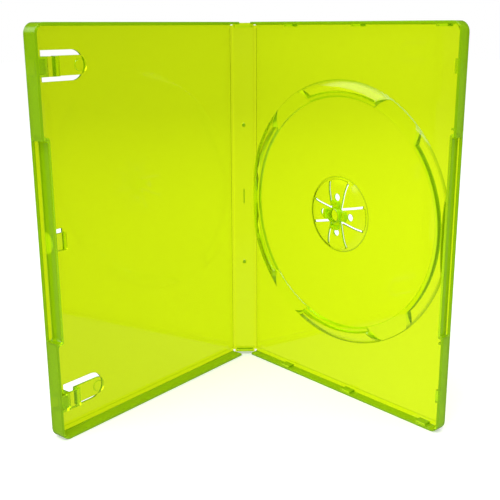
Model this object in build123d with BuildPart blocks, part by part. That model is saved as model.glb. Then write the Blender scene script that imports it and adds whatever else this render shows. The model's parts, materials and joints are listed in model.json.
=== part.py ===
from build123d import *
from math import cos, radians, sin, tan
import os

# Whole case, closed: the usual tall disc case
case_height = 190.0
closed_width = 135.0
closed_thickness = 14.0
# At rest each panel is folded this far from flat, so the case stands open by 80 degrees
fold = 50.0

# Living hinges: thin webs along both long edges of the spine
web_thickness = 0.5
web_width = 2.0
web_end_gap = 1.8
# Both sides of a web are bevelled, and the rim walls start a little further in, so the case can shut
hinge_bevel = 0.5
rim_gap = 0.6

# Skin and rim walls of the moulding
panel_thickness = 1.25
wall = 1.35
corner_radius = 5.0
foot_radius = 0.8
land_radius = 0.3
outer_radius = 0.4
# The outside is set back a little between the top and bottom borders, where the cover film lies
bed_depth = 0.25
bed_border = 3.4

# Free edges of the rims, above the hinge plane
front_rise = 7.6
tray_rise = 5.4

# Thumb notch in both opening edges
notch_length = 92.0
front_setback = 3.1
front_notch_corner = 1.4
tray_setback = 1.9
tray_notch_corner = 0.8

# Booklet clips on the front cover
clip_offset = 76.8
clip_root_depth = 7.25
clip_stem_length = 5.0
clip_tongue_length = 14.2
clip_hole_shift = 2.2
clip_hole_margin = 2.35
clip_half_width = 4.3
clip_skin = 1.1
clip_bend = 0.5
clip_pad_height = 3.1
clip_stem_height = 6.3
clip_dimple_radius = 2.8
clip_dimple_height = 0.3
clip_dimple_taper = 40.0

# Latch tab on the front cover, over its moulding hole
latch_width = 8.2
latch_reach = 7.4
latch_height = 5.2
latch_thickness = 1.2
latch_corner = 0.8
latch_hole_margin = 0.9

# Disc well in the tray
disc_offset = 64.6
well_radius = 61.1
ledge_width = 1.3
ledge_slope = 0.9
ledge_height = 1.0
ring_inner_slope = 0.6
ring_crest = 0.5
ring_outer_slope = 5.4
ring_height = 2.7
ring_bulge = 0.55
ring_skin = 0.85
scoop_angle = 54.9
scoop_inset = 6.1
scoop_radius = 14.6
scoop_step = 0.35
scoop_taper = 25.0
ring_hinge_gap = 0.9
catch_length = 33.0
catch_width = 2.6

# Hub in the middle of the well
seat_radius = 11.5
seat_height = 2.1
shoulder_radius = 18.0
shoulder_height = 0.65
shoulder_slope = 1.6
arm_length = 16.3
arm_inner_half = 1.9
arm_outer_half = 5.5
arm_slot = 1.2
release_hole_offset = 9.1
release_hole_radius = 1.9
button_radius = 4.1
button_height = 3.1
button_cap = 2.2
button_skin = 0.9
button_rounding = 1.0
tooth_width = 5.2
tooth_inner = 5.3
tooth_outer = 7.3
tooth_height = 1.4
tooth_base = 0.6
lip_overhang = 0.5
lip_height = 0.9
lip_taper = 25.0

# Ribs and lugs inside the tray rim
rib_places = (30.0, 75.5, 124.0)
rib_length = 6.0
rib_depth = 1.1
rib_drop = 0.4
lug_offset = 76.3
lug_length = 6.4
lug_depth = 1.5
gusset_offset = 49.6
gusset_length = 1.0

# Spine
spine_shorter = 0.5
flange_gap = 0.3
flange_half = 4.9
flange_rise = 3.8
flange_radius = 2.0
pin_mark_radius = 1.3
pin_mark_height = 0.4
pin_mark_taper = 50.0
pin_mark_upper = 40.0
pin_mark_lower = -38.6
gate_length = 8.0
gate_width = 0.6
gate_height = 0.8

# Derived sizes
skin = web_thickness / 2
floor_level = panel_thickness - skin
hinge_spacing = closed_thickness - web_thickness
reach = closed_width - skin
hinge_edge = web_width / 2
panel_middle = (hinge_edge + reach) / 2
panel_width = reach - hinge_edge
rim_start = hinge_edge + rim_gap
rim_middle = (rim_start + reach) / 2
rim_width = reach - rim_start
fold_sin = sin(radians(fold))
fold_cos = cos(radians(fold))
hinge_y = (reach * fold_sin + front_rise * fold_cos - skin) / 2
half_height = case_height / 2
notch_reach = notch_length / 2 + 2 * wall
clip_root = reach - clip_root_depth
clip_step = clip_root - clip_stem_length
clip_pad_end = clip_step - clip_tongue_length
clip_hollow_length = clip_root_depth - clip_skin - wall
clip_hollow_middle = reach - wall - clip_hollow_length / 2
clip_hole_end = clip_pad_end + clip_hole_shift
clip_hole_radius = clip_half_width + clip_hole_margin
latch_hole_length = latch_reach + latch_hole_margin
ledge_radius = well_radius - ledge_width
ledge_foot = ledge_radius - ledge_slope
ledge_level = floor_level + ledge_height
crest_inner = well_radius + ring_inner_slope
crest_outer = crest_inner + ring_crest
ring_foot = crest_outer + ring_outer_slope
ring_level = floor_level + ring_height
scoop_offset = well_radius - scoop_inset
shoulder_foot = shoulder_radius + shoulder_slope
shoulder_level = floor_level + shoulder_height
seat_level = floor_level + seat_height
button_bore = button_radius - button_skin
arm_root = shoulder_radius - arm_length
lip_outer = tooth_outer + lip_overhang
spine_edge = hinge_spacing / 2 - hinge_edge
bend_radius = hinge_edge / tan(radians(fold / 2))

# Panel frames: X runs from the hinge to the opening edge, Z is the inner normal
front_plane = Plane(
    origin=(-hinge_spacing / 2, hinge_y, half_height),
    x_dir=(-fold_cos, -fold_sin, 0),
    z_dir=(fold_sin, -fold_cos, 0),
)
tray_plane = Plane(
    origin=(hinge_spacing / 2, hinge_y, half_height),
    x_dir=(fold_cos, -fold_sin, 0),
    z_dir=(-fold_sin, -fold_cos, 0),
)
spine_plane = Plane(origin=(0, hinge_y, half_height), x_dir=(1, 0, 0), z_dir=(0, -1, 0))
hub_plane = Plane(
    origin=tray_plane.from_local_coords((disc_offset, 0, 0)),
    x_dir=tray_plane.x_dir,
    z_dir=tray_plane.z_dir,
)
hub_section = Plane(origin=hub_plane.origin, x_dir=hub_plane.x_dir, z_dir=(0, 0, -1))
clip_section = Plane(origin=front_plane.origin, x_dir=front_plane.x_dir, z_dir=(0, 0, 1))
front_axis = Axis(front_plane.origin, front_plane.z_dir)
disc_axis = Axis(hub_plane.origin, hub_plane.z_dir)


def hinge_edges(edges, plane):
    # The long inner edge of a panel beside its web
    found = ShapeList()
    for edge in edges:
        place = plane.to_local_coords(edge.center())
        if abs(place.Z - floor_level) < 0.01 and abs(place.X - hinge_edge) < 0.01:
            found.append(edge)
    return found


def level_edges(edges, plane, level):
    # Edges at one level of a panel, away from the hinge
    found = ShapeList()
    for edge in edges:
        place = plane.to_local_coords(edge.center())
        if abs(place.Z - level) < 0.01 and place.X > web_width:
            found.append(edge)
    return found


def draw_arms(gap):
    # Plan of the hub's collar and its four flared arms, widened by a gap, with roots out to the shoulder
    Circle(button_radius + gap)
    with PolarLocations(0, 4):
        Polygon(
            (0, -arm_inner_half - gap),
            (arm_length, -arm_outer_half - gap),
            (arm_length, arm_outer_half + gap),
            (0, arm_inner_half + gap),
            align=None,
        )
    with PolarLocations(arm_length + arm_root / 2, 4):
        Rectangle(arm_root, 2 * arm_outer_half)
    Circle(shoulder_radius, mode=Mode.INTERSECT)


# Front cover: panel, rim, thumb notch, booklet clips and latch tab
with BuildPart() as front_cover:
    with BuildSketch(front_plane.offset(-skin)) as front_rim:
        with Locations((rim_middle, 0)):
            Rectangle(rim_width, case_height)
        fillet(front_rim.vertices().sort_by(Axis.X)[-2:], corner_radius)
    extrude(amount=front_rise + skin)
    with BuildSketch(front_plane.offset(-skin)) as front_cavity:
        with Locations((rim_middle - wall, 0)):
            Rectangle(rim_width, case_height - 2 * wall)
        fillet(front_cavity.vertices().sort_by(Axis.X)[-2:], corner_radius - wall)
        with Locations((reach, 0)):
            Rectangle(2 * (front_setback + wall), notch_length + 2 * wall, mode=Mode.SUBTRACT)
        front_corners = front_cavity.vertices().filter_by_position(Axis.Y, -notch_reach, notch_reach)
        fillet(front_corners, front_notch_corner)
    extrude(amount=front_rise + skin, mode=Mode.SUBTRACT)
    # thumb notch, leaving the panel edge as a lip
    with BuildSketch(front_plane.offset(floor_level)) as front_notch:
        with Locations((reach, 0)):
            Rectangle(2 * front_setback, notch_length)
        fillet(front_notch.vertices().sort_by(Axis.X)[:2], front_notch_corner)
    extrude(amount=front_rise, mode=Mode.SUBTRACT)
    fillet(front_cover.faces().sort_by(front_axis)[-1].edges(), land_radius)
    # panel
    with BuildSketch(front_plane.offset(-skin)) as front_panel:
        with Locations((panel_middle, 0)):
            Rectangle(panel_width, case_height)
        fillet(front_panel.vertices().sort_by(Axis.X)[-2:], corner_radius)
    extrude(amount=panel_thickness)
    fillet(level_edges(front_cover.edges(), front_plane, floor_level), foot_radius)
    fillet(level_edges(front_cover.edges(), front_plane, -skin), outer_radius)
    chamfer(hinge_edges(front_cover.edges(), front_plane), hinge_bevel)
    # bed for the cover film on the outside
    with BuildSketch(front_plane.offset(-skin)):
        with Locations((panel_middle - bed_border, 0)):
            Rectangle(panel_width, case_height - 2 * bed_border)
    extrude(amount=bed_depth, mode=Mode.SUBTRACT)
    # moulding holes under the booklet clips
    with BuildSketch(front_plane.offset(-skin)):
        for side in (-1, 1):
            with Locations((clip_hole_end, side * clip_offset)):
                Circle(clip_hole_radius)
            with Locations(((clip_hole_end + clip_root) / 2, side * clip_offset)):
                Rectangle(clip_root - clip_hole_end, 2 * clip_hole_radius)
    extrude(amount=panel_thickness, mode=Mode.SUBTRACT)
    # clips: a root block on the opening wall, then a strip that steps down to the pad
    for side in (-1, 1):
        with BuildSketch(clip_section.offset(side * clip_offset)) as clip_strip:
            Polygon(
                (reach - wall / 2, floor_level - skin),
                (reach - wall / 2, clip_stem_height),
                (clip_step - clip_skin, clip_stem_height),
                (clip_step - clip_skin, clip_pad_height),
                (clip_pad_end, clip_pad_height),
                (clip_pad_end, clip_pad_height - clip_skin),
                (clip_step + clip_bend, clip_pad_height - clip_skin),
                (clip_step + clip_bend, clip_stem_height - clip_skin),
                (clip_root, clip_stem_height - clip_skin),
                (clip_root, floor_level - skin),
                align=None,
            )
            bends = clip_strip.vertices().filter_by_position(Axis.X, clip_step - 2 * clip_skin, clip_root)
            fillet(bends.filter_by_position(Axis.Y, floor_level, clip_stem_height), clip_bend)
        extrude(amount=clip_half_width, both=True)
    # round pads at the ends of the strips
    with BuildSketch(front_plane.offset(clip_pad_height - clip_skin)):
        with Locations((clip_pad_end, -clip_offset), (clip_pad_end, clip_offset)):
            Circle(clip_half_width)
    extrude(amount=clip_skin)
    # hollows behind the root blocks, open to the outside
    with BuildSketch(front_plane.offset(-skin)):
        with Locations((clip_hollow_middle, -clip_offset), (clip_hollow_middle, clip_offset)):
            Rectangle(clip_hollow_length, 2 * (clip_half_width - clip_skin))
    extrude(amount=clip_stem_height - clip_skin + skin, mode=Mode.SUBTRACT)
    # raised dots on the pads
    with BuildSketch(front_plane.offset(clip_pad_height)):
        with Locations((clip_pad_end, -clip_offset), (clip_pad_end, clip_offset)):
            Circle(clip_dimple_radius)
    extrude(amount=clip_dimple_height, taper=clip_dimple_taper)
    # latch: a tab on the notch wall, over the hole that moulds its underside
    with BuildSketch(front_plane.offset(-skin)):
        with Locations((reach - front_setback - wall - latch_hole_length / 2, 0)):
            Rectangle(latch_hole_length, latch_width + 2 * latch_hole_margin)
    extrude(amount=panel_thickness, mode=Mode.SUBTRACT)
    with BuildSketch(front_plane.offset(latch_height - latch_thickness)) as latch_tab:
        with Locations((reach - front_setback - wall / 2 - latch_reach / 2, 0)):
            Rectangle(latch_reach + wall, latch_width)
        fillet(latch_tab.vertices().sort_by(Axis.X)[:2], latch_corner)
    extrude(amount=latch_thickness)
front_cover.part.label = "front_cover"

# Raised ring round the disc well with a low ledge inside it, dipped at four finger scoops
with BuildPart() as ring_body:
    with BuildSketch(hub_section):
        with BuildLine():
            Polyline(
                (ring_foot, floor_level),
                (ring_foot, floor_level - skin),
                (ledge_foot, floor_level - skin),
                (ledge_foot, floor_level),
                (ledge_radius, ledge_level),
                (well_radius, ledge_level),
                (crest_inner, ring_level),
                (crest_outer, ring_level),
            )
            SagittaArc((crest_outer, ring_level), (ring_foot, floor_level), ring_bulge)
        make_face()
    revolve(axis=disc_axis)
    with BuildSketch(tray_plane.offset(-skin)):
        with Locations(((hinge_edge + ring_hinge_gap + reach - tray_setback - wall / 2) / 2, 0)):
            Rectangle(reach - tray_setback - wall / 2 - hinge_edge - ring_hinge_gap, case_height)
    extrude(amount=tray_rise, mode=Mode.INTERSECT)
    with BuildSketch(hub_plane.offset(floor_level + scoop_step)):
        for angle in (scoop_angle, 180 - scoop_angle, 180 + scoop_angle, -scoop_angle):
            with PolarLocations(scoop_offset, 1, angle):
                Circle(scoop_radius)
    extrude(amount=ring_height, taper=-scoop_taper, mode=Mode.SUBTRACT)

# Hollow behind the ring, which keeps the moulding to one wall thickness
with BuildPart() as ring_hollow:
    with BuildSketch(hub_section):
        with BuildLine():
            Polyline(
                (crest_outer, ring_level - ring_skin),
                (crest_outer - skin, ring_level - ring_skin),
                (well_radius + ring_skin, -skin),
                (ring_foot - skin, -skin),
            )
            SagittaArc((crest_outer, ring_level - ring_skin), (ring_foot - skin, -skin), ring_bulge)
        make_face()
    revolve(axis=disc_axis)
    with BuildSketch(tray_plane.offset(-skin)):
        with Locations(((hinge_edge + ring_hinge_gap + reach - tray_setback - wall - catch_width) / 2, 0)):
            Rectangle(
                reach - tray_setback - wall - catch_width - hinge_edge - ring_hinge_gap - 2 * ring_skin,
                case_height,
            )
    extrude(amount=tray_rise, mode=Mode.INTERSECT)
    with BuildSketch(hub_plane.offset(-skin)):
        for angle in (scoop_angle, 180 - scoop_angle, 180 + scoop_angle, -scoop_angle):
            with PolarLocations(scoop_offset, 1, angle):
                Circle(scoop_radius + 2 * ring_skin)
    extrude(amount=tray_rise, mode=Mode.SUBTRACT)

# Hub dome, which swells from the floor to the flat seat of the disc
with BuildPart() as hub_dome:
    with BuildSketch(hub_section):
        with BuildLine():
            Polyline(
                (shoulder_radius, shoulder_level),
                (shoulder_foot, floor_level),
                (shoulder_foot, floor_level - skin),
                (0, floor_level - skin),
                (0, seat_level),
                (seat_radius, seat_level),
            )
            TangentArc((seat_radius, seat_level), (shoulder_radius, shoulder_level), tangent=(1, 0))
        make_face()
    revolve(axis=disc_axis)

# Hollow behind the dome, one panel thickness below it
with BuildPart() as hub_hollow:
    with BuildSketch(hub_section):
        with BuildLine():
            Polyline(
                (shoulder_radius, shoulder_level - floor_level),
                (shoulder_foot, -skin),
                (0, -skin),
                (0, seat_level - floor_level),
                (seat_radius, seat_level - floor_level),
            )
            TangentArc(
                (seat_radius, seat_level - floor_level),
                (shoulder_radius, shoulder_level - floor_level),
                tangent=(1, 0),
            )
        make_face()
    revolve(axis=disc_axis)

# Disc tray: panel, rim, disc well and hub dome
with BuildPart() as disc_tray:
    with BuildSketch(tray_plane.offset(-skin)) as tray_rim:
        with Locations((rim_middle, 0)):
            Rectangle(rim_width, case_height)
        fillet(tray_rim.vertices().sort_by(Axis.X)[-2:], corner_radius)
    extrude(amount=tray_rise + skin)
    with BuildSketch(tray_plane.offset(-skin)) as tray_cavity:
        with Locations((rim_middle - wall, 0)):
            Rectangle(rim_width, case_height - 2 * wall)
        fillet(tray_cavity.vertices().sort_by(Axis.X)[-2:], corner_radius - wall)
        with Locations((reach, 0)):
            Rectangle(2 * (tray_setback + wall), notch_length + 2 * wall, mode=Mode.SUBTRACT)
        tray_corners = tray_cavity.vertices().filter_by_position(Axis.Y, -notch_reach, notch_reach)
        fillet(tray_corners, tray_notch_corner)
    extrude(amount=tray_rise + skin, mode=Mode.SUBTRACT)
    with BuildSketch(tray_plane.offset(floor_level)) as tray_notch:
        with Locations((reach, 0)):
            Rectangle(2 * tray_setback, notch_length)
        fillet(tray_notch.vertices().sort_by(Axis.X)[:2], tray_notch_corner)
    extrude(amount=tray_rise, mode=Mode.SUBTRACT)
    fillet(disc_tray.faces().sort_by(disc_axis)[-1].edges(), land_radius)
    with BuildSketch(tray_plane.offset(-skin)) as tray_panel:
        with Locations((panel_middle, 0)):
            Rectangle(panel_width, case_height)
        fillet(tray_panel.vertices().sort_by(Axis.X)[-2:], corner_radius)
    extrude(amount=panel_thickness)
    fillet(level_edges(disc_tray.edges(), tray_plane, floor_level), foot_radius)
    fillet(level_edges(disc_tray.edges(), tray_plane, -skin), outer_radius)
    chamfer(hinge_edges(disc_tray.edges(), tray_plane), hinge_bevel)
    with BuildSketch(tray_plane.offset(-skin)):
        with Locations((panel_middle - bed_border, 0)):
            Rectangle(panel_width, case_height - 2 * bed_border)
    extrude(amount=bed_depth, mode=Mode.SUBTRACT)
    # ribs on the top and bottom walls
    with BuildSketch(tray_plane):
        for side in (-1, 1):
            for place in rib_places:
                with Locations((place, side * (half_height - wall / 2 - rib_depth / 2))):
                    Rectangle(rib_length, wall + rib_depth)
    extrude(amount=tray_rise - rib_drop)
    # lugs and gussets on the opening wall
    with BuildSketch(tray_plane):
        for side in (-1, 1):
            with Locations((reach - wall / 2 - lug_depth / 2, side * lug_offset)):
                Rectangle(wall + lug_depth, lug_length)
            with Locations((reach - wall / 2 - lug_depth / 2, side * gusset_offset)):
                Rectangle(wall + lug_depth, gusset_length)
    extrude(amount=tray_rise - rib_drop)
    add(ring_body.part)
    # well between the ring and the notch wall that takes the latch tab
    with BuildSketch(tray_plane.offset(floor_level)):
        with Locations((reach - tray_setback - wall - catch_width / 2, 0)):
            Rectangle(catch_width, catch_length)
    extrude(amount=ring_height, mode=Mode.SUBTRACT)
    add(ring_hollow.part, mode=Mode.SUBTRACT)
    add(hub_dome.part)
    add(hub_hollow.part, mode=Mode.SUBTRACT)
    # opening for the four spring arms and the slots beside them
    with BuildSketch(hub_plane):
        draw_arms(arm_slot)
    extrude(amount=tray_rise, mode=Mode.SUBTRACT)
disc_tray.part.label = "disc_tray"

# Four spring arms of the dome that carry the button, with the moulding holes outside the teeth
with BuildPart() as hub_arms:
    add(hub_dome.part)
    add(hub_hollow.part, mode=Mode.SUBTRACT)
    with BuildSketch(hub_plane):
        draw_arms(0)
        Circle(button_bore, mode=Mode.SUBTRACT)
        with PolarLocations(release_hole_offset, 4):
            Circle(release_hole_radius, mode=Mode.SUBTRACT)
    extrude(amount=tray_rise, mode=Mode.INTERSECT)
hub_arms.part.label = "hub_arms"

# Release button, hollow underneath, with its ring of four hooked teeth
with BuildPart() as hub_button:
    with BuildSketch(hub_plane.offset(seat_level)):
        Rectangle(2 * tooth_outer, tooth_width)
        Rectangle(tooth_width, 2 * tooth_outer)
        Circle(tooth_outer, mode=Mode.INTERSECT)
    extrude(amount=tooth_base)
    with BuildSketch(hub_plane.offset(seat_level)):
        Rectangle(2 * tooth_outer, tooth_width)
        Rectangle(tooth_width, 2 * tooth_outer)
        Circle(tooth_outer, mode=Mode.INTERSECT)
        Circle(tooth_inner, mode=Mode.SUBTRACT)
    extrude(amount=tooth_height)
    with BuildSketch(hub_plane.offset(seat_level + tooth_height)):
        Rectangle(2 * lip_outer, tooth_width)
        Rectangle(tooth_width, 2 * lip_outer)
        Circle(lip_outer, mode=Mode.INTERSECT)
        Circle(tooth_inner, mode=Mode.SUBTRACT)
    extrude(amount=lip_height, taper=lip_taper)
    with BuildSketch(hub_plane.offset(seat_level)):
        Circle(button_radius)
    extrude(amount=button_height)
    fillet(hub_button.faces().sort_by(disc_axis)[-1].edges(), button_rounding)
    with BuildSketch(hub_plane.offset(seat_level)):
        Circle(button_bore)
    extrude(amount=button_height - button_cap, mode=Mode.SUBTRACT)
hub_button.part.label = "hub_button"

# Spine with its two flanges, pin marks and gate mark
with BuildPart() as spine:
    with BuildSketch(spine_plane.offset(-skin)):
        Rectangle(hinge_spacing - web_width, case_height - 2 * spine_shorter)
    extrude(amount=panel_thickness)
    chamfer(spine.edges().filter_by(Axis.Z).group_by(Axis.Y)[0], hinge_bevel)
    with BuildSketch(spine_plane.offset(-skin)):
        Rectangle(hinge_spacing - web_width, case_height - 2 * bed_border)
    extrude(amount=bed_depth, mode=Mode.SUBTRACT)
    # flanges stand just inside the end walls of the panels when the case is shut
    for side in (-1, 1):
        with BuildSketch(spine_plane):
            with Locations((0, side * (half_height - wall - flange_gap - wall / 2))):
                Rectangle(2 * flange_half, wall)
        extrude(amount=flange_rise)
    fillet(
        spine.edges().filter_by(Axis.Z).group_by(Axis.Y)[0],
        flange_radius,
    )
    with BuildSketch(spine_plane.offset(floor_level)):
        with Locations((0, pin_mark_upper), (0, pin_mark_lower)):
            Circle(pin_mark_radius)
    extrude(amount=pin_mark_height, taper=pin_mark_taper)
    with BuildSketch(spine_plane.offset(floor_level)):
        Rectangle(gate_width, gate_length)
    extrude(amount=gate_height)
spine.part.label = "spine"

# Hinge webs: thin strips bent round the fold, from the spine edge to the panel edge
with BuildPart() as front_hinge_web:
    with BuildSketch(Plane(origin=(-spine_edge, hinge_y, half_height), x_dir=(0, 1, 0), z_dir=(1, 0, 0))):
        Rectangle(web_thickness, case_height - 2 * web_end_gap)
    revolve(axis=Axis((-spine_edge, hinge_y - bend_radius, 0), (0, 0, 1)), revolution_arc=fold)
front_hinge_web.part.label = "front_hinge_web"

with BuildPart() as tray_hinge_web:
    with BuildSketch(Plane(origin=(spine_edge, hinge_y, half_height), x_dir=(0, 1, 0), z_dir=(1, 0, 0))):
        Rectangle(web_thickness, case_height - 2 * web_end_gap)
    revolve(axis=Axis((spine_edge, hinge_y - bend_radius, 0), (0, 0, -1)), revolution_arc=fold)
tray_hinge_web.part.label = "tray_hinge_web"

os.makedirs("parts", exist_ok=True)
export_step(front_cover.part, "parts/front_cover.step")
export_step(spine.part, "parts/spine.step")
export_step(disc_tray.part, "parts/disc_tray.step")
export_step(hub_arms.part, "parts/hub_arms.step")
export_step(hub_button.part, "parts/hub_button.step")
export_step(front_hinge_web.part, "parts/front_hinge_web.step")
export_step(tray_hinge_web.part, "parts/tray_hinge_web.step")
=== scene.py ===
import json
import math
import bpy
import numpy as np
from mathutils import Matrix, Vector


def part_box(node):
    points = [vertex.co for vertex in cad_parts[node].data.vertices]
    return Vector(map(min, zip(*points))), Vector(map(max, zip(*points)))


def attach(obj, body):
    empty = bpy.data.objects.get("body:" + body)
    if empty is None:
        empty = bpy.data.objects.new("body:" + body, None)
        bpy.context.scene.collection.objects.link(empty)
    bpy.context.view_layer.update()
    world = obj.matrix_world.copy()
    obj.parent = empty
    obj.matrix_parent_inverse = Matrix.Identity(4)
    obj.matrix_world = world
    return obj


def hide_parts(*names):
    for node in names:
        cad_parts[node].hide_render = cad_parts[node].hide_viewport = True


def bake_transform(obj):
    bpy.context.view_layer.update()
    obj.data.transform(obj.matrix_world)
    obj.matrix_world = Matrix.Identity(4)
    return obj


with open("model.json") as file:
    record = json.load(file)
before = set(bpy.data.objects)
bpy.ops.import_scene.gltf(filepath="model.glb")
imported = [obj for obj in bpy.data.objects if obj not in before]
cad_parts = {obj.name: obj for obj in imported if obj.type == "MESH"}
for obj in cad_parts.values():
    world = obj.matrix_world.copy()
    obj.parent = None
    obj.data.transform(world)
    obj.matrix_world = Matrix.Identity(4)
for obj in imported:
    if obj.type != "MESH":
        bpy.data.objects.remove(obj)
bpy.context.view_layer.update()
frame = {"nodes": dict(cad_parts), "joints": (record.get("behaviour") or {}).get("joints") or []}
print("frame loaded:", sorted(frame["nodes"]))

scene = bpy.context.scene
scene.view_settings.view_transform = "Standard"
# light goes through many thin walls of clear plastic before it leaves the moulding
lightBounces = 24
scene.cycles.max_bounces = lightBounces
scene.cycles.transmission_bounces = lightBounces


def linearColour(hexCode):
    # sRGB hex to linear: straight below the toe, a 2.4 power above it
    code = hexCode.lstrip("#")
    srgb = np.array([int(code[i:i + 2], 16) for i in (0, 2, 4)]) / 255.0
    linear = np.where(srgb <= 0.04045, srgb / 12.92, ((srgb + 0.055) / 1.055) ** 2.4)
    return tuple(float(c) for c in linear) + (1.0,)


def addNode(tree, kind, settings=None, inputs=None):
    # one node: its own settings, and for each socket a plain value or what another node gives out
    node = tree.nodes.new(kind)
    for name, value in (settings or {}).items():
        setattr(node, name, value)
    for name, value in (inputs or {}).items():
        if isinstance(value, bpy.types.NodeSocket):
            tree.links.new(value, node.inputs[name])
        else:
            node.inputs[name].default_value = value
    return node


def arith(tree, operation, *values):
    # one sum, product or other operation
    return addNode(tree, "ShaderNodeMath", {"operation": operation}, dict(enumerate(values))).outputs[0]


def vectors(tree, operation, first, second):
    return addNode(tree, "ShaderNodeVectorMath", {"operation": operation}, {0: first, 1: second}).outputs


def absolute(tree, value):
    return arith(tree, "ABSOLUTE", value)


def times(tree, first, second):
    return arith(tree, "MULTIPLY", first, second)


def either(tree, first, second):
    return arith(tree, "MAXIMUM", first, second)


def opposite(tree, mask):
    return arith(tree, "SUBTRACT", 1.0, mask)


def within(tree, value, span):
    # one where a value lies between two limits, zero elsewhere
    above = arith(tree, "GREATER_THAN", value, span[0])
    return times(tree, above, arith(tree, "LESS_THAN", value, span[1]))


def ramp(tree, value, fromRange, toRange):
    # smooth step of a value from one range to another
    return addNode(tree, "ShaderNodeMapRange", {"interpolation_type": "SMOOTHSTEP"}, {
        "Value": value,
        "From Min": fromRange[0],
        "From Max": fromRange[1],
        "To Min": toRange[0],
        "To Max": toRange[1],
    }).outputs["Result"]


def mix(tree, factor, first, second):
    # the first value where the factor is zero, the second where it is one
    return addNode(tree, "ShaderNodeMix", {}, {"Factor": factor, "A": first, "B": second}).outputs["Result"]


def mixColour(tree, factor, first, second):
    # a mix node takes colours in its sockets 6 and 7 and gives one in its output 2
    node = addNode(tree, "ShaderNodeMix", {"data_type": "RGBA"}, {0: factor, 6: first, 7: second})
    return node.outputs[2]


def noise(tree, place, scale, detail):
    texture = addNode(tree, "ShaderNodeTexNoise", {}, {"Vector": place, "Scale": scale, "Detail": detail})
    return texture.outputs["Fac"]


def split(tree, vector):
    return addNode(tree, "ShaderNodeSeparateXYZ", {}, {"Vector": vector}).outputs


# camera: where the photographer stood, in metres and degrees, with the lens in image pixels
camera = {
    "place": (-0.009121, -0.405371, 0.188601),
    "yaw": 1.543,
    "pitchDown": 15.300,
    "roll": -0.250,
    "focalPixels": 824.4,
    "imagePixels": 500.0,
    "sensor": 36.0,
    "nearest": 0.01,
}


def placeCamera(c):
    yaw, pitch, roll = (math.radians(c[k]) for k in ("yaw", "pitchDown", "roll"))
    ahead = Vector((math.sin(yaw) * math.cos(pitch), math.cos(yaw) * math.cos(pitch), -math.sin(pitch)))
    level = Vector((math.cos(yaw), -math.sin(yaw), 0.0))
    up = level.cross(ahead)
    right = math.cos(roll) * level + math.sin(roll) * up
    top = -math.sin(roll) * level + math.cos(roll) * up
    data = bpy.data.cameras.new("studioCamera")
    data.sensor_width = c["sensor"]
    data.lens = c["focalPixels"] / c["imagePixels"] * c["sensor"]
    data.clip_start = c["nearest"]
    obj = bpy.data.objects.new("studioCamera", data)
    axes = Matrix((right, top, -ahead)).transposed().to_4x4()
    obj.matrix_world = Matrix.Translation(c["place"]) @ axes
    scene.collection.objects.link(obj)
    scene.camera = obj


placeCamera(camera)
print("camera placed")

# the case at rest: each panel is folded this far from flat, in degrees, about the middle of its web
fold = 50.0
joints = {j["name"]: j for j in frame["joints"]}
trayHinge = Vector(joints["tray_hinge"]["pos_m"])
# the tray faces inwards, and the disc's middle is this far from the tray's hinge, in metres
discOffset = 0.0646
inward = -Vector(joints["hub_press"]["axis"])
alongTray = Vector((-inward.y, inward.x, 0.0))
hubPlace = trayHinge + alongTray * discOffset
# the hub's own directions: along the tray, up, and out of the tray
hubFrame = np.array([alongTray, Vector((0, 0, 1)), inward])
# the middle of the spine's inner face is this far in front of the hinges
spineFront = 0.0016
spinePlace = Vector((0.0, trayHinge.y - spineFront, trayHinge.z))

# places of the light haze, in metres: out from a panel's hinge, up from its middle, and its rise; the
# moulding is thin in the disc's well and at the clips, and at the ribs, the clips and the latch the light
# haze is painted light
thinAndPaintedLightPlaces = {
    "wellRadius": 0.0635,
    "ribsOut": (0.030, 0.0755, 0.124),
    "ribUp": 0.0925,
    "ribRise": 0.0025,
    "ribRadius": 0.005,
    "clipOut": 0.1195,
    "clipsUp": (0.0768, -0.0768),
    "clipRise": 0.003,
    "clipRadius": 0.012,
    "latchOut": 0.13165,
    "latchRise": 0.001,
    "latchRadius": 0.005,
}


def onTray(out, up, rise):
    return trayHinge + alongTray * out + Vector((0, 0, up)) + inward * rise


def onCover(out, up, rise):
    # the cover is folded like the tray, the other way round
    return onTray(out, up, rise) * Vector((-1.0, 1.0, 1.0))


def thinAndPaintedLightSpheres(t):
    # middle and radius of each: the disc's well, where the skin is thin; the ribs under the tray's top
    # edge, with painted light lifting the shade on their end faces; the booklet clips, thin tongues with
    # painted light lifting the shade under their bends; and a painted light patch for the half round behind
    # the latch in the cover's notch, which is not cut in the solid
    well = (hubPlace, t["wellRadius"])
    ribs = [(onTray(out, t["ribUp"], t["ribRise"]), t["ribRadius"]) for out in t["ribsOut"]]
    clips = [(onCover(t["clipOut"], up, t["clipRise"]), t["clipRadius"]) for up in t["clipsUp"]]
    latch = (onCover(t["latchOut"], 0.0, t["latchRise"]), t["latchRadius"])
    return {"cover": [*clips, latch], "tray": [well, *ribs], "hub": [well]}


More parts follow.
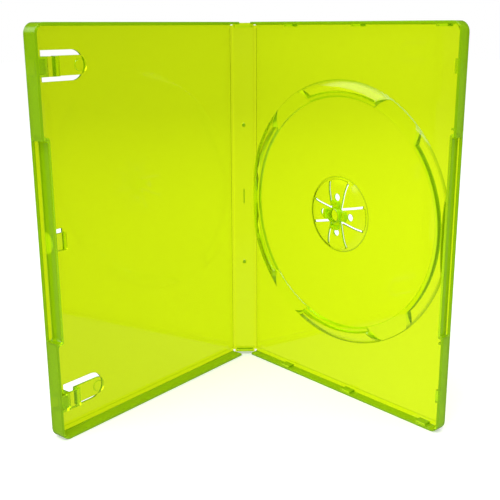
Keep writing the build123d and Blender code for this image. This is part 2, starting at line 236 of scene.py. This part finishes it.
# clear lime polypropylene, injection moulded in polished steel: the flat panels are glossy and clear,
# the walls and ridges, drawn out of narrow slots in the tool, are greener and hazier, and the longer
# the way through the plastic, the greener it goes; a rim that starts a metre away is none
plastic = {
    "tint": "#ebfd1c",
    "wallTint": "#90c106",
    # the light haze's tint: thin places, and painted light that lifts the shade at the ribs and clips and
    # makes a light patch at the latch
    "thinAndPaintedLightTint": "#c8f808",
    "bodyTint": "#f6fdb8",
    "bodyPerMetre": 1000.0,
    "ior": 1.49,
    "clear": 0.93,
    "wallClear": 0.2,
    # the light haze's clearness, of thin places and of painted light alike
    "thinAndPaintedLightClear": 0.4,
    "innerClear": 1.0,
    "steepRange": (0.86, 0.66),
    "thinAndPaintedLightSpheres": [],
    "sphereEdge": 0.0005,
    "markHalf": (0.0, 0.0, 0.0),
    "endWalls": 1.0,
    "openingEdge": 1.0,
    # painted shade: a ring round the foot of the hub's dome is hazed part way to the darker green of the
    # walls
    "domeFoot": (0.0190, 0.0197),
    "footPaintedShade": 0.6,
    "hingeJoint": (0.0054, 0.0088),
    "hingeReach": 0.0932,
    "armJoint": (0.0176, 0.0184),
    "collarJoint": (0.0, 0.0044),
    "armLevels": (0.0, 0.00305),
    "roughness": (0.03, 0.09),
    "polishScale": 60.0,
    "polishDetail": 3.0,
    "polishRange": (0.35, 0.65),
    "waveScale": 45.0,
    "waveDetail": 1.0,
    "waveHeight": 0.000012,
}
# a panel's rims start this far from its middle, up or down, and this far out from the spine
panelRims = {"endWalls": 0.09365, "openingEdge": 0.1368}
spheres = thinAndPaintedLightSpheres(thinAndPaintedLightPlaces)
# how far each area of the moulding is turned from the spine at rest, in degrees, and what differs there:
# the panels have green rims, the spine shows its pin and gate marks, and the hub is a brighter, hazier
# green, partly painted light that lifts the shade in its narrow slots
areas = {
    "cover": {"turn": fold, "thinAndPaintedLightSpheres": spheres["cover"], **panelRims},
    "coverWeb": {"turn": fold / 2},
    "spine": {"turn": 0.0, "steepRange": (0.60, 0.40), "markHalf": (0.003, 0.00035, 0.08)},
    "trayWeb": {"turn": -fold / 2},
    "tray": {"turn": -fold, "thinAndPaintedLightSpheres": spheres["tray"], **panelRims},
    # the hub: a brighter, hazier green, partly the thin skin of the disc's well and partly painted light
    # that lifts the shade in its narrow slots
    "hub": {"turn": -fold, "thinAndPaintedLightSpheres": spheres["hub"], "thinAndPaintedLightTint": "#c4ff08", "thinAndPaintedLightClear": 0.2},
}


def markMask(tree, apart, p):
    # the pin and gate marks that stand up from the spine, in a box of the given half size
    mark = 1.0
    for axis, half in zip("XYZ", p["markHalf"]):
        mark = times(tree, arith(tree, "LESS_THAN", absolute(tree, apart[axis]), half), mark)
    return mark


def rimMask(tree, apart, p):
    # the walls along the top and bottom edges, which are seen end on, and the outermost line of a panel,
    # measured out from the spine along the panel
    turn = math.radians(p["turn"])
    endWall = arith(tree, "GREATER_THAN", absolute(tree, apart["Z"]), p["endWalls"])
    sideways = times(tree, absolute(tree, apart["X"]), math.cos(turn))
    forward = times(tree, apart["Y"], abs(math.sin(turn)))
    out = arith(tree, "SUBTRACT", sideways, forward)
    return either(tree, endWall, arith(tree, "GREATER_THAN", out, p["openingEdge"]))


def thinAndPaintedLightMask(tree, place, p):
    # spheres with soft edges round the thin places and the places of painted light
    thinAndPaintedLightHaze = 0.0
    for middle, radius in p["thinAndPaintedLightSpheres"]:
        edge = (radius - p["sphereEdge"], radius + p["sphereEdge"])
        away = vectors(tree, "DISTANCE", place, middle)["Value"]
        thinAndPaintedLightHaze = either(tree, ramp(tree, away, edge, (1.0, 0.0)), thinAndPaintedLightHaze)
    return thinAndPaintedLightHaze


def jointMask(tree, place, apart, away, p):
    # where the pieces of the one moulding run into one another: along the hinge webs, at the roots of the
    # hub's arms, and under the button where it meets their collar
    beside = arith(tree, "LESS_THAN", absolute(tree, apart["Z"]), p["hingeReach"])
    atHinge = times(tree, within(tree, absolute(tree, apart["X"]), p["hingeJoint"]), beside)
    aboveHub = vectors(tree, "SUBTRACT", place, hubPlace)["Vector"]
    height = vectors(tree, "DOT_PRODUCT", aboveHub, inward)["Value"]
    atRoot = within(tree, away, p["armJoint"])
    atCollar = times(tree, within(tree, away, p["collarJoint"]), within(tree, height, p["armLevels"]))
    return either(tree, either(tree, atHinge, atRoot), atCollar)


def hazeMasks(tree, coords, p):
    # how hazy the skin is, and how far the haze is the light one of the thin places and of the painted
    # light that lifts shade: faces that are steep, by the cosine of their slope, and marks are hazy, joints
    # have no skin and no haze, rims are as green as the sides of their walls, and the gentle slope at the
    # foot of the hub's dome is hazed in part as a painted shade line
    turn = math.radians(p["turn"])
    panelWay = (math.sin(turn), -math.cos(turn), 0.0)
    level = absolute(tree, vectors(tree, "DOT_PRODUCT", coords["Normal"], panelWay)["Value"])
    place = coords["Object"]
    apart = split(tree, vectors(tree, "SUBTRACT", place, spinePlace)["Vector"])
    away = vectors(tree, "DISTANCE", place, hubPlace)["Value"]
    rim = rimMask(tree, apart, p)
    foot = within(tree, away, p["domeFoot"])
    haze = either(tree, ramp(tree, level, p["steepRange"], (0.0, 1.0)), markMask(tree, apart, p))
    haze = times(tree, haze, opposite(tree, jointMask(tree, place, apart, away, p)))
    haze = either(tree, haze, rim)
    # painted shade line round the foot of the hub's dome
    haze = either(tree, haze, times(tree, foot, p["footPaintedShade"]))
    # the light haze, of thin places and of painted light, but none on rims or on the painted shade line at
    # the dome's foot
    thinAndPaintedLightHaze = times(tree, thinAndPaintedLightMask(tree, place, p), opposite(tree, either(tree, rim, foot)))
    return haze, thinAndPaintedLightHaze


def limePolypropylene(name, p):
    mat = bpy.data.materials.new(name)
    mat.use_nodes = True
    tree = mat.node_tree
    tree.nodes.clear()
    coords = addNode(tree, "ShaderNodeTexCoord").outputs
    haze, thinAndPaintedLightHaze = hazeMasks(tree, coords, p)
    # the haze is in the skin, so light that is already inside the plastic passes it by
    inside = addNode(tree, "ShaderNodeNewGeometry").outputs["Backfacing"]
    # the light haze, of thin places and of painted light, takes its own lighter green and clearness
    wallClear = ramp(tree, thinAndPaintedLightHaze, (0.0, 1.0), (p["wallClear"], p["thinAndPaintedLightClear"]))
    clear = mix(tree, haze, p["clear"], mix(tree, inside, wallClear, p["innerClear"]))
    wallTint = mixColour(tree, thinAndPaintedLightHaze, linearColour(p["wallTint"]), linearColour(p["thinAndPaintedLightTint"]))
    seenHaze = times(tree, haze, opposite(tree, inside))
    # uneven gloss, and the faint waves of a skin that shrank as it cooled
    polish = noise(tree, coords["Object"], p["polishScale"], p["polishDetail"])
    waves = addNode(tree, "ShaderNodeBump", {}, {
        "Strength": 1.0,
        "Distance": p["waveHeight"],
        "Height": noise(tree, coords["Object"], p["waveScale"], p["waveDetail"]),
    })
    skin = addNode(tree, "ShaderNodeBsdfPrincipled", {}, {
        "IOR": p["ior"],
        "Base Color": mixColour(tree, seenHaze, linearColour(p["tint"]), wallTint),
        "Transmission Weight": clear,
        "Roughness": ramp(tree, polish, p["polishRange"], p["roughness"]),
        "Normal": waves.outputs["Normal"],
    })
    body = addNode(tree, "ShaderNodeVolumeAbsorption", {}, {
        "Color": linearColour(p["bodyTint"]),
        "Density": p["bodyPerMetre"],
    })
    addNode(tree, "ShaderNodeOutputMaterial", {}, {
        "Surface": skin.outputs["BSDF"],
        "Volume": body.outputs["Volume"],
    })
    return mat


plasticOf = {area: limePolypropylene(area + "Polypropylene", plastic | own) for area, own in areas.items()}
areaOf = {"front_cover": "cover", "spine": "spine", "disc_tray": "tray", "hub_button": "hub"}
for name, area in areaOf.items():
    for s in frame["nodes"][name].material_slots:
        s.material = plasticOf[area]
print("plastic on the moulding")

# edges that turn by more than this, in degrees, stay crisp
sharpTurn = 35.0


def gridMesh(name, points, closedU, closedV, area):
    # a mesh from a grid of points [u, v, xyz], joined up in either direction where it is closed, with
    # end caps on a tube; faces are turned outwards where the volume they sweep comes out negative
    rows, cols = points.shape[:2]
    u = np.arange(rows if closedU else rows - 1)[:, None]
    v = np.arange(cols if closedV else cols - 1)[None, :]
    nextU, nextV = (u + 1) % rows, (v + 1) % cols
    corners = [u * cols + v, nextU * cols + v, nextU * cols + nextV, u * cols + nextV]
    quads = np.stack(np.broadcast_arrays(*corners), axis=-1).reshape(-1, 4)
    flat = points.reshape(-1, 3)
    middle = flat.mean(axis=0)
    a, b, c, d = (flat[quads[:, k]] - middle for k in range(4))
    swept = np.einsum("ij,ij->", a, np.cross(b, c)) + np.einsum("ij,ij->", a, np.cross(c, d))
    faces = quads.tolist()
    if closedV and not closedU:
        faces.append(list(range(cols)))
        faces.append([(rows - 1) * cols + k for k in range(cols)][::-1])
    if swept < 0:
        faces = [face[::-1] for face in faces]
    mesh = bpy.data.meshes.new(name)
    mesh.from_pydata(flat.tolist(), [], faces)
    mesh.update()
    mesh.polygons.foreach_set("use_smooth", np.ones(len(mesh.polygons), bool))
    mesh.set_sharp_from_angle(angle=math.radians(sharpTurn))
    obj = bpy.data.objects.new(name, mesh)
    scene.collection.objects.link(obj)
    mesh.materials.append(plasticOf[area])
    return obj


# hinge webs: a thin strip bent round an arc between the spine and each panel, the living hinge
web = {
    "fold": fold,
    "width": 0.002,
    "thickness": 0.0005,
    "arcSteps": 24,
    "lengthSteps": 48,
}


def hingeWeb(name, w, joint, cadNode, side, area):
    # arc of the fold angle about a centre in front of the spine's edge, from its outer radius to its
    # inner radius, carried along the height of the case
    low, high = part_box(cadNode)
    turn = math.radians(w["fold"])
    radius = w["width"] / 2 / math.tan(turn / 2)
    hinge = Vector(joint["pos_m"])
    spineEdge = hinge.x - side * w["width"] / 2
    centre = np.array([spineEdge, hinge.y - radius])
    angle = np.linspace(0.0, turn, w["arcSteps"] + 1)
    outline = np.concatenate([
        np.stack([angle, np.full_like(angle, radius + w["thickness"] / 2)], axis=1),
        np.stack([angle[::-1], np.full_like(angle, radius - w["thickness"] / 2)], axis=1),
    ])
    plan = centre + outline[:, 1:] * np.stack([side * np.sin(outline[:, 0]), np.cos(outline[:, 0])], axis=1)
    height = np.linspace(low.z, high.z, w["lengthSteps"] + 1)
    points = np.empty((len(height), len(plan), 3))
    points[:, :, :2] = plan[None]
    points[:, :, 2] = height[:, None]
    obj = gridMesh(name, points, False, True, area)
    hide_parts(cadNode)
    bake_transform(obj)


hingeWeb("frontHingeWeb", web, joints["front_hinge"], "front_hinge_web", -1, "coverWeb")
hingeWeb("trayHingeWeb", web, joints["tray_hinge"], "tray_hinge_web", 1, "trayWeb")
print("hinge webs")

# hub arms: the dome's skin cut into four spring arms round a small collar, sizes from the hub's middle
arms = {
    "floor": 0.001,
    "seat": 0.0031,
    "seatRadius": 0.0115,
    "shoulder": 0.00165,
    "shoulderRadius": 0.018,
    "length": 0.0163,
    "innerHalf": 0.0019,
    "outerHalf": 0.0055,
    "collarRadius": 0.0041,
    "boreRadius": 0.0032,
    "holeOffset": 0.0091,
    "holeRadius": 0.0019,
    "aroundSteps": 96,
    "acrossSteps": 12,
    "wallSteps": 2,
}


def domeLevel(a, radius):
    # flat seat, then a circle arc that leaves it level and comes down to the shoulder
    run = a["shoulderRadius"] - a["seatRadius"]
    drop = a["seat"] - a["shoulder"]
    bend = (run ** 2 + drop ** 2) / (2 * drop)
    past = np.clip(radius - a["seatRadius"], 0.0, run)
    return a["seat"] - bend + np.sqrt(bend ** 2 - past ** 2)


def rays(count):
    # unit vectors at equal angles, all the way round
    around = np.linspace(-math.pi, math.pi, count, endpoint=False)
    return np.stack([np.cos(around), np.sin(around)], axis=1)


def armOutline(a):
    # plan of one arm: flaring sides as far as the slots go, straight ones beyond, the shoulder's arc at
    # the root and the collar's arc at the inner end, at equal angles from the middle of its round hole
    slope = (a["outerHalf"] - a["innerHalf"]) / a["length"]
    ray = rays(a["aroundSteps"])
    c = a["holeOffset"]
    half = c * ray[:, 0]
    toRoot = -half + np.sqrt(half ** 2 + a["shoulderRadius"] ** 2 - c ** 2)
    with np.errstate(divide="ignore", invalid="ignore"):
        toSide = (a["innerHalf"] + slope * c) / (np.abs(ray[:, 1]) - slope * ray[:, 0])
        toSide = np.where(toSide > 0, toSide, np.inf)
        flared = c + toSide * ray[:, 0] <= a["length"]
        toSide = np.where(flared, toSide, a["outerHalf"] / np.abs(ray[:, 1]))
        gap = half ** 2 - (c ** 2 - a["collarRadius"] ** 2)
        toCollar = np.where((gap > 0) & (half < 0), -half - np.sqrt(np.maximum(gap, 0.0)), np.inf)
    reach = np.minimum(np.minimum(toRoot, toSide), toCollar)
    centre = np.array([c, 0.0])
    return centre + ray * a["holeRadius"], centre + ray * reach[:, None]


def ringSolid(a, inner, outer):
    # closed skin between two plan loops: over the dome's top outwards, down, back underneath and up
    across = np.linspace(0.0, 1.0, a["acrossSteps"] + 1)
    down = np.linspace(0.0, 1.0, a["wallSteps"] + 1)[1:-1]
    share = np.concatenate([across, np.ones_like(down), across[::-1], np.zeros_like(down)])
    drop = np.concatenate([np.zeros_like(across), down, np.ones_like(across), down[::-1]])
    plan = inner[:, None] + (outer - inner)[:, None] * share[None, :, None]
    level = domeLevel(a, np.hypot(plan[..., 0], plan[..., 1])) - drop[None] * a["floor"]
    return np.concatenate([plan, level[..., None]], axis=-1)


def fromHub(points, turn=0.0):
    # hub coordinates (along the tray, up, out of the tray) to the shared frame, after a turn about the hub
    c, s = math.cos(turn), math.sin(turn)
    spun = np.stack([
        c * points[..., 0] - s * points[..., 1],
        s * points[..., 0] + c * points[..., 1],
        points[..., 2],
    ], axis=-1)
    return np.array(hubPlace) + spun @ hubFrame


def hubArms(a):
    hole, edge = armOutline(a)
    solid = ringSolid(a, hole, edge)
    pieces = []
    for k, name in enumerate(("outerArm", "upperArm", "hingeArm", "lowerArm")):
        turn = k * math.pi / 2
        obj = gridMesh(name, fromHub(solid, turn), True, True, "hub")
        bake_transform(obj)
        pieces.append(obj)
    ray = rays(a["aroundSteps"])
    ring = ringSolid(a, ray * a["boreRadius"], ray * a["collarRadius"])
    collar = gridMesh("buttonCollar", fromHub(ring), True, True, "hub")
    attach(collar, "button_body")
    pieces.append(collar)
    for obj in pieces:
        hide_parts("hub_arms")


hubArms(arms)
print("hub arms")

# stage: white paper under the case and a white sweep behind it, in a dim room with a softbox; light that
# comes through the plastic, mirror reflections and the camera each see their own level of white
stage = {
    "floorHalf": 4.0,
    "floorColour": "#f4f4f4",
    "floorGlow": 0.35,
    "floorNear": 1.06,
    "floorBehind": 0.86,
    "behindRange": (0.30, 1.6),
    "floorBeside": 0.7,
    "besideRange": (0.22, 0.7),
    "besideSpread": 0.5,
    "floorBefore": 0.7,
    "beforeRange": (-0.15, -0.6),
    "mirrorNear": 0.25,
    "mirrorBefore": 0.05,
    "mirrorRange": (-0.05, -0.30),
    "leftShade": 0.78,
    "shadeRange": (-0.25, 0.25),
    "shadeReach": 0.45,
    "sweep": 0.86,
    "sweepTurn": (0.70, 0.92),
    "sweepLift": (0.40, 0.18),
    "room": 0.7,
    "mirrorRoom": 0.06,
    "softboxWay": (-0.78, -0.08, 0.62),
    "softboxSpread": (0.85, 0.97),
    "softbox": 2.2,
    "roomLight": 0.75,
    "backdrop": 1.0,
    "paperWhite": "#ffffff",
}


def floorLevel(tree, path, s):
    # how white the floor looks through the plastic: it falls off behind, beside and before the case and
    # to the left, and mirror reflections see a dimmer floor
    xyz = split(tree, addNode(tree, "ShaderNodeTexCoord").outputs["Object"])
    behind = ramp(tree, xyz["Y"], s["behindRange"], (s["floorNear"], s["floorBehind"]))
    spread = times(tree, either(tree, xyz["Y"], 0.0), s["besideSpread"])
    aside = arith(tree, "SUBTRACT", absolute(tree, xyz["X"]), spread)
    beside = ramp(tree, aside, s["besideRange"], (1.0, s["floorBeside"]))
    before = ramp(tree, xyz["Y"], s["beforeRange"], (1.0, s["floorBefore"]))
    reach = arith(tree, "ADD", absolute(tree, xyz["Y"]), s["shadeReach"])
    shade = ramp(tree, arith(tree, "DIVIDE", xyz["X"], reach), s["shadeRange"], (s["leftShade"], 1.0))
    mirror = ramp(tree, xyz["Y"], s["mirrorRange"], (s["mirrorNear"], s["mirrorBefore"]))
    mirror = either(tree, mirror, path["Is Transmission Ray"])
    level = times(tree, times(tree, behind, beside), before)
    return times(tree, times(tree, level, shade), mirror)


def paperMaterial(s):
    mat = bpy.data.materials.new("whitePaper")
    mat.use_nodes = True
    tree = mat.node_tree
    tree.nodes.clear()
    path = addNode(tree, "ShaderNodeLightPath").outputs
    paper = addNode(tree, "ShaderNodeBsdfDiffuse", {}, {"Color": linearColour(s["floorColour"])})
    glow = addNode(tree, "ShaderNodeEmission", {}, {
        "Strength": times(tree, path["Is Camera Ray"], s["floorGlow"]),
    })
    direct = addNode(tree, "ShaderNodeAddShader", {}, {0: paper.outputs[0], 1: glow.outputs[0]})
    through = addNode(tree, "ShaderNodeEmission", {}, {"Strength": floorLevel(tree, path, s)})
    both = addNode(tree, "ShaderNodeMixShader", {}, {
        0: either(tree, path["Is Transmission Ray"], path["Is Glossy Ray"]),
        1: direct.outputs[0],
        2: through.outputs[0],
    })
    addNode(tree, "ShaderNodeOutputMaterial", {}, {"Surface": both.outputs[0]})
    return mat


def studioSurround(s):
    world = bpy.data.worlds.new("studioSurround")
    scene.world = world
    world.use_nodes = True
    tree = world.node_tree
    tree.nodes.clear()
    path = addNode(tree, "ShaderNodeLightPath").outputs
    way = addNode(tree, "ShaderNodeTexCoord").outputs["Generated"]
    xyz = split(tree, way)
    ahead = ramp(tree, xyz["Y"], s["sweepTurn"], (0.0, 1.0))
    low = ramp(tree, xyz["Z"], s["sweepLift"], (0.0, 1.0))
    shade = ramp(tree, xyz["X"], s["shadeRange"], (s["leftShade"], 1.0))
    facing = vectors(tree, "DOT_PRODUCT", way, s["softboxWay"])["Value"]
    softbox = ramp(tree, facing, s["softboxSpread"], (0.0, s["softbox"]))
    room = mix(tree, path["Is Transmission Ray"], s["mirrorRoom"], s["room"])
    level = mix(tree, times(tree, ahead, low), room, times(tree, shade, s["sweep"]))
    level = arith(tree, "ADD", level, softbox)
    seen = either(tree, path["Is Transmission Ray"], path["Is Glossy Ray"])
    level = mix(tree, seen, s["roomLight"], level)
    sky = addNode(tree, "ShaderNodeBackground", {}, {
        "Color": linearColour(s["paperWhite"]),
        "Strength": mix(tree, path["Is Camera Ray"], level, s["backdrop"]),
    })
    addNode(tree, "ShaderNodeOutputWorld", {}, {"Surface": sky.outputs[0]})


def buildStage(s):
    half = s["floorHalf"]
    corners = [(-half, -half, 0), (half, -half, 0), (half, half, 0), (-half, half, 0)]
    mesh = bpy.data.meshes.new("studioFloor")
    mesh.from_pydata(corners, [], [(0, 1, 2, 3)])
    floor = bpy.data.objects.new("studioFloor", mesh)
    scene.collection.objects.link(floor)
    mesh.materials.append(paperMaterial(s))
    studioSurround(s)


buildStage(stage)
print("stage set")

# soft lamp: a broad box overhead and a little in front
topLamp = {
    "place": (-0.25, -0.55, 1.25),
    "aim": (0.0, 0.0, 0.08),
    "size": 0.9,
    "watts": 8.0,
}


def hangLamp(lamp):
    data = bpy.data.lights.new("topSoftbox", "AREA")
    data.size = lamp["size"]
    data.energy = lamp["watts"]
    obj = bpy.data.objects.new("topSoftbox", data)
    place = Vector(lamp["place"])
    obj.location = place
    obj.rotation_euler = (Vector(lamp["aim"]) - place).to_track_quat("-Z", "Y").to_euler()
    scene.collection.objects.link(obj)


hangLamp(topLamp)
print("lamp hung")
